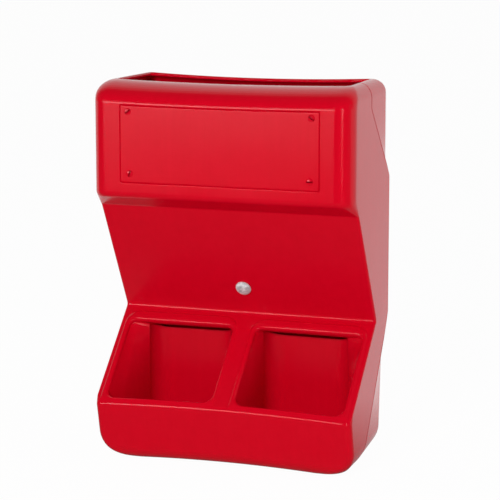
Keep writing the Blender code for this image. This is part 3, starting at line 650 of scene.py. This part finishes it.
def cup(name, side, grow):
    """One feeding cup as a solid, or the block one wall larger that holds it.

    Sections from outside the panel round the opening's edge by a quarter circle, go down the
    front wall and along the floor, and draw in round the corners of the back wall. There the
    cup reaches up through its ceiling, and the block's roof falls away to the back.
    """
    left, right = DIVIDER_WIDTH / 2, DIVIDER_WIDTH / 2 + OPENING_WIDTH
    top, bottom = OPENING_TOP, OPENING_TOP + OPENING_LENGTH
    turns = np.radians([0.0, *np.linspace(0.0, 90.0, 12)])
    edge = OPENING_ROUND * (1 - np.cos(turns)) - LAND_HEIGHT - 0.05
    edge[0] = -PAST
    sections = [(PANEL.at(top, inward), PANEL.at(bottom, inward), left, right,
                 OPENING_CORNER, OPENING_TOP_CORNER, wider)
                for inward, wider in zip(edge, OPENING_ROUND * (1 - np.sin(turns)))]
    round_depth = CUP_BACK_DEPTH + CUP_CORNER
    ceiling, mouth_foot = PANEL.at(top, MOUTH_INWARD), PANEL.at(bottom, MOUTH_INWARD)
    ceiling_end = np.array([round_depth, ceiling[1] - CUP_CEILING_FALL])
    foot_depth = TROUGH_DEPTH - CUP_FRONT_WALL
    foot_depth -= (TROUGH_DEPTH - FOOT_DEPTH) * (1 - CUP_FLOOR / LIP_Z)
    run = rounded_path([
        (*mouth_foot, 0.0, 0.0),
        circular(foot_depth, CUP_FLOOR, CUP_FLOOR_ROUND, mouth_foot, (round_depth, CUP_FLOOR)),
        (round_depth, CUP_FLOOR, 0.0, 0.0),
    ], 14)
    lengths = lengths_along(run)
    places = thinned(np.concatenate([lengths, np.linspace(0.0, lengths[-1], 30)]), 2.0)
    for length in np.append(places[:-1], lengths[-1]):
        share = length / lengths[-1]
        foot = [np.interp(length, lengths, run[:, axis]) for axis in (0, 1)]
        sections.append((ceiling + (ceiling_end - ceiling) * share, foot,
                         left + CUP_DIVIDER_TAPER * share, right - CUP_SIDE_TAPER * share,
                         OPENING_CORNER + (CUP_CORNER - OPENING_CORNER) * share,
                         OPENING_TOP_CORNER + (CUP_TOP_CORNER - OPENING_TOP_CORNER) * share, 0.0))
    for turn in np.radians([1.0, *np.linspace(9.0, 90.0, 10)]):
        depth = round_depth - (CUP_CORNER + grow) * math.sin(turn)
        drawn = (CUP_CORNER + grow) * (1 - math.cos(turn))
        roof = ceiling_end[1] - CUP_ROOF_FALL * math.sin(turn) if grow else ceiling[1] + PAST
        sections.append(((depth, roof), (depth, CUP_FLOOR + drawn),
                         left + CUP_DIVIDER_TAPER + drawn, right - CUP_SIDE_TAPER - drawn,
                         CUP_CORNER * (1 + math.cos(turn)) / 2, CUP_TOP_CORNER, 0.0))
    tops, feet, lefts, rights, radii, top_radii, wider = (
        np.array(column, float) for column in zip(*sections))
    grown = grow + wider
    tall = np.linalg.norm(tops - feet, axis=1)
    up = (tops - feet) / tall[:, None]
    across, along = rounded_rings(lefts - grown, rights + grown, -grown, tall + grown,
                                  radii + grown, top_radii + grown)
    places = feet[:, None] + up[:, None] * along[..., None]
    rings = np.stack([side * across, places[..., 0], places[..., 1]], -1)
    return loft(name, bowed(rings))


def recess(name, grow):
    """The pocket in the lower back with its sloping top, or that block grown by one wall."""
    half = HALF_WIDTH - RECESS_SIDE_MARGIN
    deep = CUP_BACK_DEPTH - 2 * WALL + 0.5
    slope = CHUTE_DROP / deep
    lean = grow * math.hypot(1.0, slope)
    turns = np.radians(np.linspace(0.0, 90.0, 10))
    inner = RECESS_ROUND + grow
    depths = np.concatenate([[-PAST], deep - RECESS_ROUND + inner * np.sin(turns)])
    drawn = np.concatenate([[0.0], inner * (1 - np.cos(turns))])
    draft = RECESS_DRAFT * np.maximum(depths, 0.0) / deep
    reach = half - draft - drawn + grow
    across, height = rounded_rings(-reach, reach, RECESS_FOOT + draft + drawn - grow,
                                   CHUTE_TOP - slope * depths - drawn / 2 + lean,
                                   RECESS_CORNER + grow - drawn / 2)
    return loft(name, np.stack([across, depths[:, None] + 0 * across, height], -1))


def slant_matrix():
    """The place on the slanted panel: X across, Y up the slope, Z out of the panel."""
    up = Vector((0.0, -SLANT.along[0], SLANT.along[1]))
    across = Vector((1.0, 0.0, 0.0))
    turn = Matrix((across, up, across.cross(up))).transposed()
    place = to_frame([0.0, *SLANT.at(BOLT_UP_SLANT)])
    return Matrix.Translation(place) @ turn.to_4x4()


ON_SLANT = slant_matrix()


def on_slant(piece, out=0.0):
    """Move a piece's mesh from its own axes to the bolt's, by a distance out of the panel."""
    piece.data.transform(ON_SLANT @ Matrix.Translation((0.0, 0.0, out * MM)))
    return piece


def rectangle(wide, tall):
    """A rectangular outline about the origin."""
    x, y = wide / 2, tall / 2
    return [(-x, -y), (x, -y), (x, y), (-x, y)]


def housing(material):
    """The red moulding in one closed piece."""
    body = outer_skin()
    inside = hollow()
    combine(inside, [recess("recess_wall", WALL), cup("cup_wall_left", -1, WALL),
                     cup("cup_wall_right", 1, WALL)])
    cutters = [inside, recess("recess", 0.0)]
    for side, word in ((-1, "left"), (1, "right")):
        cutters.append(cup("cup_" + word, side, 0.0))
        drill = turned("mount_hole_" + word, [
            (0.0, PAST), (MOUNT_HOLE_DIAMETER / 2, PAST),
            (MOUNT_HOLE_DIAMETER / 2, -WALL - PAST), (0.0, -WALL - PAST)], 48)
        place = to_frame([side * MOUNT_HOLE_SPACING / 2, 0.0, MOUNT_HOLE_Z])
        turn = Matrix.Rotation(-math.pi / 2, 4, "X")
        drill.data.transform(Matrix.Translation(place) @ turn)
        cutters.append(drill)
    across = BOLT_NECK + 2 * GAP
    hole = prism("bolt_hole", rectangle(across, across), -WALL - PAST, PAST)
    cutters.append(on_slant(hole))
    combine(body, cutters)
    finished(body, material, "feeder", "feeder_body")


def plate_bosses(material):
    """Four low domes moulded like slotted screw heads, sunk a little into the nose's face.

    A dome's height is h(1 - (r/R)^2)^0.4 over its base.
    """
    share = np.linspace(0.0, 1.0, 14)
    dome = BOSS_HEIGHT * (1 - share ** 2) ** 0.4
    profile = np.column_stack([share * BOSS_RADIUS, dome])
    profile = np.vstack([profile, [[BOSS_RADIUS, -BOSS_ROOT], [0.0, -BOSS_ROOT]]])
    for index, (across, height) in enumerate(BOSS_PLACES):
        boss = turned("plate_screw_head_%d" % (index + 1), profile, 48)
        foot = BOSS_HEIGHT - BOSS_SLOT_DEPTH
        combine(boss, [prism("slot", rectangle(2 * PAST, BOSS_SLOT), foot, PAST)])
        turn = Matrix.Rotation(BOSS_FIRST_TURN + BOSS_NEXT_TURN * index, 4, "Z")
        place = Matrix.Translation(to_frame([across, BODY_DEPTH - BOSS_SUNK, height]))
        boss.data.transform(place @ (Matrix.Rotation(math.pi / 2, 4, "X") @ turn))
        finished(boss, material, "feeder", sharp=40.0)


# The gate and its fastening.

def gate(material):
    """The sheet gate: rows along a folded profile, whose half width follows the rounded corners
    as W - r + sqrt(r^2 - (r - v)^2) at a distance v from either end."""
    low = GATE_REST - BOLT_UP_SLANT
    face = -(WALL + GAP + GATE_THICKNESS / 2)
    top = low + GATE_HEIGHT
    fold = rounded_path([
        (low, face, 0, 0), (top, face, GATE_BEND, GATE_BEND), (top, face - GATE_FLANGE, 0, 0)], 10)
    lengths = lengths_along(fold)
    ends = GATE_CORNER * (1 - np.cos(np.linspace(0.0, math.pi / 2, 10)))
    rows = thinned(np.concatenate([ends, np.linspace(GATE_CORNER, lengths[-1] - GATE_CORNER, 40),
                                   lengths[1:-1], lengths[-1] - ends]), 0.05)
    up, out = (np.interp(rows, lengths, fold[:, axis]) for axis in (0, 1))
    near = np.clip(GATE_CORNER - np.minimum(rows, lengths[-1] - rows), 0.0, GATE_CORNER)
    half = GATE_WIDTH / 2 - GATE_CORNER + np.sqrt(GATE_CORNER ** 2 - near ** 2)
    across = half[:, None] * np.linspace(-1.0, 1.0, 61)
    points = np.stack([across, up[:, None] + 0 * across, out[:, None] + 0 * across], -1) * MM
    index = np.arange(across.size).reshape(across.shape)
    faces = np.stack([index[:-1, :-1], index[:-1, 1:], index[1:, 1:], index[1:, :-1]], -1)
    sheet = new_object("flow_gate", points, faces.reshape(-1, 4).tolist())
    thick = sheet.modifiers.new("sheet", "SOLIDIFY")
    thick.thickness = GATE_THICKNESS * MM
    thick.offset = 0.0
    apply_modifiers(sheet)
    half_slot = BOLT_DIAMETER / 2 + GATE_SLOT_PLAY
    turns = np.linspace(0.0, math.pi, 25)
    outline = np.concatenate([
        np.column_stack([half_slot * np.cos(turns), GATE_TRAVEL + half_slot * np.sin(turns)]),
        np.column_stack([-half_slot * np.cos(turns), -half_slot * np.sin(turns)])])
    combine(sheet, [prism("gate_slot", outline, face - PAST, 0.0)])
    on_slant(sheet)
    edge = sheet.modifiers.new("edge", "BEVEL")
    edge.width = GATE_EDGE * MM
    edge.segments = 2
    edge.limit_method = "ANGLE"
    edge.angle_limit = math.radians(50.0)
    finished(sheet, material, "gate", "feed_gate")


def carriage_bolt(material):
    """Domed head, square neck and a threaded shank.

    The thread is r = R - d(1 - |2f - 1|), where f is the fraction of z/pitch - angle/2pi, and it
    draws in at the bolt's end.
    """
    head, shank = BOLT_HEAD_DIAMETER / 2, BOLT_DIAMETER / 2
    turns = np.linspace(0.0, math.pi / 2, 18)
    dome = np.column_stack([head * np.sin(turns),
                            BOLT_HEAD_EDGE + (BOLT_HEAD_HEIGHT - BOLT_HEAD_EDGE) * np.cos(turns)])
    edge = [(head, BOLT_BREAK), (head - BOLT_BREAK, 0.0)]
    core = shank - THREAD_DEPTH
    bolt = turned("carriage_bolt", np.vstack([dome, edge, [
        (core, 0.0), (core, EDGE_BREAK - BOLT_LENGTH),
        (core - EDGE_BREAK, BOLT_BREAK - BOLT_LENGTH), (0.0, BOLT_BREAK - BOLT_LENGTH)]]), 96)
    neck = prism("bolt_neck", rectangle(BOLT_NECK, BOLT_NECK), -BOLT_NECK_LENGTH, 0.5)
    combine(bolt, [neck], "UNION")
    rows = np.linspace(-BOLT_NECK_LENGTH - THREAD_RUNOUT, 0.1 - BOLT_LENGTH, 150)[:, None]
    angles = np.linspace(0.0, 2 * math.pi, 48, endpoint=False)
    phase = (rows / THREAD_PITCH - angles / (2 * math.pi)) % 1.0
    fade = np.clip((rows + BOLT_LENGTH) / THREAD_END, 0.3, 1.0)
    radius = shank - THREAD_DEPTH * (1 - np.abs(2 * phase - 1))
    radius = radius * ((1 - THREAD_END_DRAW) + THREAD_END_DRAW * fade)
    rings = np.stack([radius * np.cos(angles), radius * np.sin(angles), rows + 0 * angles], -1)
    index, faces = ring_walls(*rings.shape[:2])
    faces += [index[0].tolist(), index[-1].tolist()]
    thread = new_object("thread", rings * MM, faces)
    combine(bolt, [thread], "UNION")
    on_slant(bolt, GAP)
    finished(bolt, material, "feeder", "gate_bolt", sharp=30.0)


def washer(material):
    """The wide washer, a turned rectangle with small rounded edges."""
    bore, rim = BOLT_DIAMETER / 2 + GAP, WASHER_DIAMETER / 2
    thick, ease = WASHER_THICKNESS, WASHER_EASE
    profile = rounded_path([
        ((bore + rim) / 2, 0.0, 0, 0), (rim, 0.0, ease, ease), (rim, -thick, ease, ease),
        (bore, -thick, ease, ease), (bore, 0.0, ease, ease), ((bore + rim) / 2, 0.0, 0, 0)], 4)
    made = turned("wide_washer", profile[:-1], 96)
    on_slant(made, -(WALL + GATE_THICKNESS + 2 * GAP))
    finished(made, material, "washer", "gate_washer")


def wing_nut(material):
    """A cast wing nut: a turned boss and two wings joined, then remeshed and eased."""
    base, tip = NUT_BASE_DIAMETER / 2, NUT_TOP_DIAMETER / 2
    nut = turned("wing_nut", [
        (0.0, 0.0), (base - EDGE_BREAK, 0.0), (base, -EDGE_BREAK), (base, -NUT_COLLAR),
        (tip, EDGE_BREAK - NUT_HEIGHT), (tip - EDGE_BREAK, -NUT_HEIGHT), (0.0, -NUT_HEIGHT)])
    reach, root = NUT_WING_SPAN / 2, tip / 2
    crotch = NUT_HEIGHT - 2 * EDGE_BREAK
    lead = (NUT_WING_ROUND, NUT_WING_ROUND)
    path = rounded_path([
        (root, NUT_COLLAR, 0, 0),
        ((base + reach) / 2 - root, NUT_WING_FOOT) + lead,
        (reach, (NUT_WING_FOOT + NUT_WING_RISE) / 2) + lead,
        (reach, NUT_WING_RISE) + lead,
        (reach - NUT_WING_TIP, NUT_WING_RISE) + lead,
        (tip, crotch) + lead,
        (root, crotch, 0, 0)], 8)
    wings = []
    for side in (-1, 1):
        wing = prism("wing", path * (side, -1.0), -NUT_WING_THICKNESS / 2, NUT_WING_THICKNESS / 2)
        wing.data.transform(Matrix.Rotation(math.pi / 2, 4, "X"))
        wings.append(wing)
    combine(nut, wings, "UNION")
    hole = BOLT_DIAMETER / 2 + GAP
    combine(nut, [turned("nut_bore", [(0.0, PAST), (hole, PAST), (hole, -NUT_HEIGHT - PAST),
                                      (0.0, -NUT_HEIGHT - PAST)])])
    cast = nut.modifiers.new("cast", "REMESH")
    cast.mode = "VOXEL"
    cast.voxel_size = 0.3 * MM
    ease = nut.modifiers.new("ease", "SMOOTH")
    ease.factor = 0.5
    ease.iterations = 4
    apply_modifiers(nut)
    on_slant(nut, -(WALL + GATE_THICKNESS + WASHER_THICKNESS + 3 * GAP))
    finished(nut, material, "nut", "gate_wing_nut", weighted=False)


# Materials.

class Value:
    """A shader socket that can be used in arithmetic, where each operator adds a Math node."""

    def __init__(self, shader, socket):
        self.shader, self.socket = shader, socket

    def maths(self, operation, *others):
        """One Math node on this value and others."""
        return self.shader.node("Math", {"operation": operation}, self, *others)

    def __add__(self, other):
        return self.maths("ADD", other)

    def __sub__(self, other):
        return self.maths("SUBTRACT", other)

    def __mul__(self, other):
        return self.maths("MULTIPLY", other)

    def __rsub__(self, other):
        return self.shader.node("Math", {"operation": "SUBTRACT"}, other, self)

    __radd__, __rmul__ = __add__, __mul__

    def clipped(self, low, high):
        """0 to 1 as the value goes from low to high, and held there."""
        share = (self - low) * (1 / (high - low))
        return share.maths("MAXIMUM", 0.0).maths("MINIMUM", 1.0)


class Shader:
    """A material's or the world's node tree."""

    def __init__(self, owner):
        self.owner = owner
        owner.use_nodes = True
        self.tree = owner.node_tree
        self.tree.nodes.clear()

    def node(self, kind, settings=None, *values, output=0, **named):
        """Add a node: its settings come first, then its sockets by order or by name."""
        made = self.tree.nodes.new("ShaderNode" + kind)
        for name, value in (settings or {}).items():
            setattr(made, name, value)
        sockets = {socket.name: socket for socket in reversed(made.inputs) if socket.enabled}
        pairs = list(zip([socket for socket in made.inputs if socket.enabled], values))
        pairs += [(sockets[name.replace("_", " ")], value) for name, value in named.items()]
        for socket, value in pairs:
            if isinstance(value, Value):
                self.tree.links.new(value.socket, socket)
            elif isinstance(value, tuple) and len(value) == 3 and socket.type == "RGBA":
                socket.default_value = (*value, 1.0)
            else:
                socket.default_value = value
        enabled = [socket for socket in made.outputs if socket.enabled]
        return Value(self, enabled[output])

    def mix(self, share, first, second):
        """A colour between two others."""
        return self.node("Mix", {"data_type": "RGBA"}, share, first, second)

    def noise(self, place, scale, detail=2.0, roughness=0.5):
        """Noise of about 0 to 1 at a scale in features a metre."""
        return self.node("TexNoise", None, Vector=place, Scale=scale, Detail=detail,
                         Roughness=roughness)

    def place(self, centre=(0.0, 0.0, 0.0), turn=(0.0, 0.0, 0.0), stretch=(1.0, 1.0, 1.0)):
        """Object coordinates, centred, turned and stretched."""
        here = self.node("TexCoord", None, output=3)
        return self.node("Mapping", {"vector_type": "TEXTURE"}, here, tuple(centre), turn, stretch)

    def bump(self, height, strength, distance, **under):
        """A normal from a height, and on top of another Normal if one is named."""
        return self.node("Bump", None, Strength=strength, Distance=distance, Height=height, **under)

    def surface(self, **named):
        """A Principled surface as the material's output."""
        self.output(self.node("BsdfPrincipled", None, **named))

    def output(self, surface, kind="OutputMaterial"):
        """Use a surface as the output."""
        end = self.tree.nodes.new("ShaderNode" + kind)
        self.tree.links.new(surface.socket, end.inputs["Surface"])


def red_polyethylene():
    """Satin moulded polyethylene: upright die lines over a slow waviness, a fine skin texture, a
    slightly uneven red, a duller bloom in patches, and a few knocks on the nose and the trough."""
    shader = Shader(bpy.data.materials.new("red_polyethylene"))
    here = shader.place()
    upright = shader.place(stretch=(1.0, 1.0, 16.0))
    slow = shader.noise(here, 9.0, 1.0)
    lines = shader.noise(upright, 160.0, 3.0, 0.6)
    mottle = shader.noise(here, 70.0, 4.0, 0.6)
    fine = shader.noise(here, 900.0, 3.0, 0.6)
    bloom = shader.noise(here, 30.0, 5.0, 0.65)
    tone = shader.mix((lines * 0.5 + mottle * 0.5).clipped(0.3, 0.7), *RED_TONES)
    knocks = None
    for across, height, depth, radius in KNOCKS:
        spot = shader.place(to_frame([across, depth, height]), (0.0, 0.4, 0.0),
                            (radius * MM, 20 * MM, radius * 0.6 * MM))
        away = shader.node("VectorMath", {"operation": "LENGTH"}, spot)
        pit = 1 - away.clipped(0.2, 1.0)
        knocks = pit if knocks is None else knocks + pit
    wave = shader.bump(slow, 0.2, 2.0 * MM)
    drawn = shader.bump(lines, 0.12, 0.4 * MM, Normal=wave)
    skin = shader.bump(fine, 0.10, 0.25 * MM, Normal=drawn)
    marked = shader.bump(1 - knocks, 0.6, 0.5 * MM, Normal=skin)
    shader.surface(Base_Color=tone, Roughness=0.14 + bloom * 0.07, Normal=marked,
                   Specular_IOR_Level=0.25)
    return shader.owner


def galvanised(name, tones, spangle, metallic):
    """Zinc with its crystal spangle: cells of slightly different grey, roughness and tilt."""
    shader = Shader(bpy.data.materials.new(name))
    here = shader.place()
    wobble = shader.noise(here, spangle * 1.5, 3.0)
    cells = shader.node("TexVoronoi", None, Vector=here, Scale=spangle, output=1)
    grey = shader.node("SeparateColor", None, cells)
    patches = (grey * 0.7 + wobble * 0.5).clipped(0.2, 0.95)
    tone = shader.mix(patches, *tones)
    grain = shader.noise(here, 2600.0, 2.0)
    rough = 0.34 + grey * 0.16 + grain * 0.08
    normal = shader.bump(grain * 0.5 + grey * 0.5, 0.25, 0.12 * MM)
    shader.surface(Base_Color=tone, Metallic=metallic, Roughness=rough, Normal=normal)
    return shader.owner


# Stage: floor, world, lamps and camera.

def seen_by(shader):
    """Whether a camera ray, or a ray mirrored or sent through by another surface, sees this."""
    camera = shader.node("LightPath", None, output=0)
    glossy = shader.node("LightPath", None, output=3)
    clear = shader.node("LightPath", None, output=6)
    return camera, glossy.maths("MAXIMUM", clear)


def between(value, low, high, soft):
    """1 between two values and 0 outside them, over soft edges."""
    return value.clipped(low - soft, low + soft) * (1 - value.clipped(high - soft, high + soft))


def floor():
    """A pale floor, white to the camera and in reflections behind, dim in those in front."""
    near, far = -FLOOR_FRONT, FLOOR_REACH
    made = new_object("floor", np.array([[-far, near, 0.0], [far, near, 0.0],
                                         [far, far, 0.0], [-far, far, 0.0]]), [[0, 1, 2, 3]])
    shader = Shader(bpy.data.materials.new("pale_floor"))
    camera, mirror = seen_by(shader)
    behind = shader.node("SeparateXYZ", None, shader.place(), output=1).clipped(-0.1, 0.3)
    matt = shader.node("BsdfDiffuse", None, (FLOOR_GREY, FLOOR_GREY, FLOOR_GREY))
    strength = camera + mirror * (DIM + (1.0 - DIM) * behind)
    glow = shader.node("Emission", None, (1.0, 1.0, 1.0), strength)
    shader.output(shader.node("MixShader", None, camera * FLOOR_GLOW + mirror, matt, glow))
    shader.owner.cycles.emission_sampling = "NONE"
    made.data.materials.append(shader.owner)


def world():
    """White for the camera, with fill light that grows to the back. Reflections see white behind
    and dimness in front, but for the softboxes."""
    shader = Shader(bpy.data.worlds.new("studio"))
    shader.owner.cycles.sampling_method = "NONE"
    bpy.context.scene.world = shader.owner
    direction = shader.node("TexCoord", None, output=0)
    x, y, z = (shader.node("SeparateXYZ", None, direction, output=axis) for axis in range(3))
    camera, mirror = seen_by(shader)
    reflected = DIM + (1.0 - DIM) * y.clipped(0.1, 0.5)
    for left, right, power in SOFTBOXES:
        box = between(x, left, right, SOFT_UPRIGHT)
        box = box * between(z, SOFTBOX_LOW, SOFTBOX_HIGH, SOFT_LEVEL)
        reflected = reflected + box * (1 - y.clipped(-0.3, -0.1)) * power
    plain = FILL + y.clipped(-0.6, 0.6) * FILL_GAIN
    strength = camera + (1 - camera) * (mirror * reflected + (1 - mirror) * plain)
    shader.output(shader.node("Background", None, (1.0, 1.0, 1.0), strength), "OutputWorld")


def lamps():
    """The rectangular soft lamps, left out of reflections."""
    for name, place, size, power in LAMPS:
        data = bpy.data.lights.new(name, "AREA")
        data.shape = "RECTANGLE"
        data.size, data.size_y = size
        data.energy = power
        made = bpy.data.objects.new(name, data)
        made.location = place
        made.visible_glossy = False
        aim = Vector(AIM) - Vector(place)
        made.rotation_euler = aim.to_track_quat("-Z", "Y").to_euler()
        bpy.context.scene.collection.objects.link(made)


def camera():
    """The photograph's view."""
    data = bpy.data.cameras.new("camera")
    data.lens, data.sensor_width = CAMERA_LENS, CAMERA_SENSOR
    data.clip_end = 100.0
    made = bpy.data.objects.new("camera", data)
    place, target = Vector(CAMERA_PLACE), Vector(CAMERA_TARGET)
    turn = (target - place).to_track_quat("-Z", "Y").to_matrix().to_4x4()
    roll = Matrix.Rotation(math.radians(CAMERA_ROLL), 4, "Z")
    made.matrix_world = Matrix.Translation(place) @ turn @ roll
    bpy.context.scene.collection.objects.link(made)
    bpy.context.scene.camera = made


camera()
world()
floor()
lamps()

red = red_polyethylene()
steel = galvanised("galvanised_steel", STEEL_TONES, 90.0, 0.85)
zinc = galvanised("zinc_plate", ZINC_TONES, 420.0, 0.35)
housing(red)
plate_bosses(red)
gate(steel)
carriage_bolt(zinc)
washer(zinc)
wing_nut(zinc)

bpy.context.scene.view_settings.view_transform = "Standard"
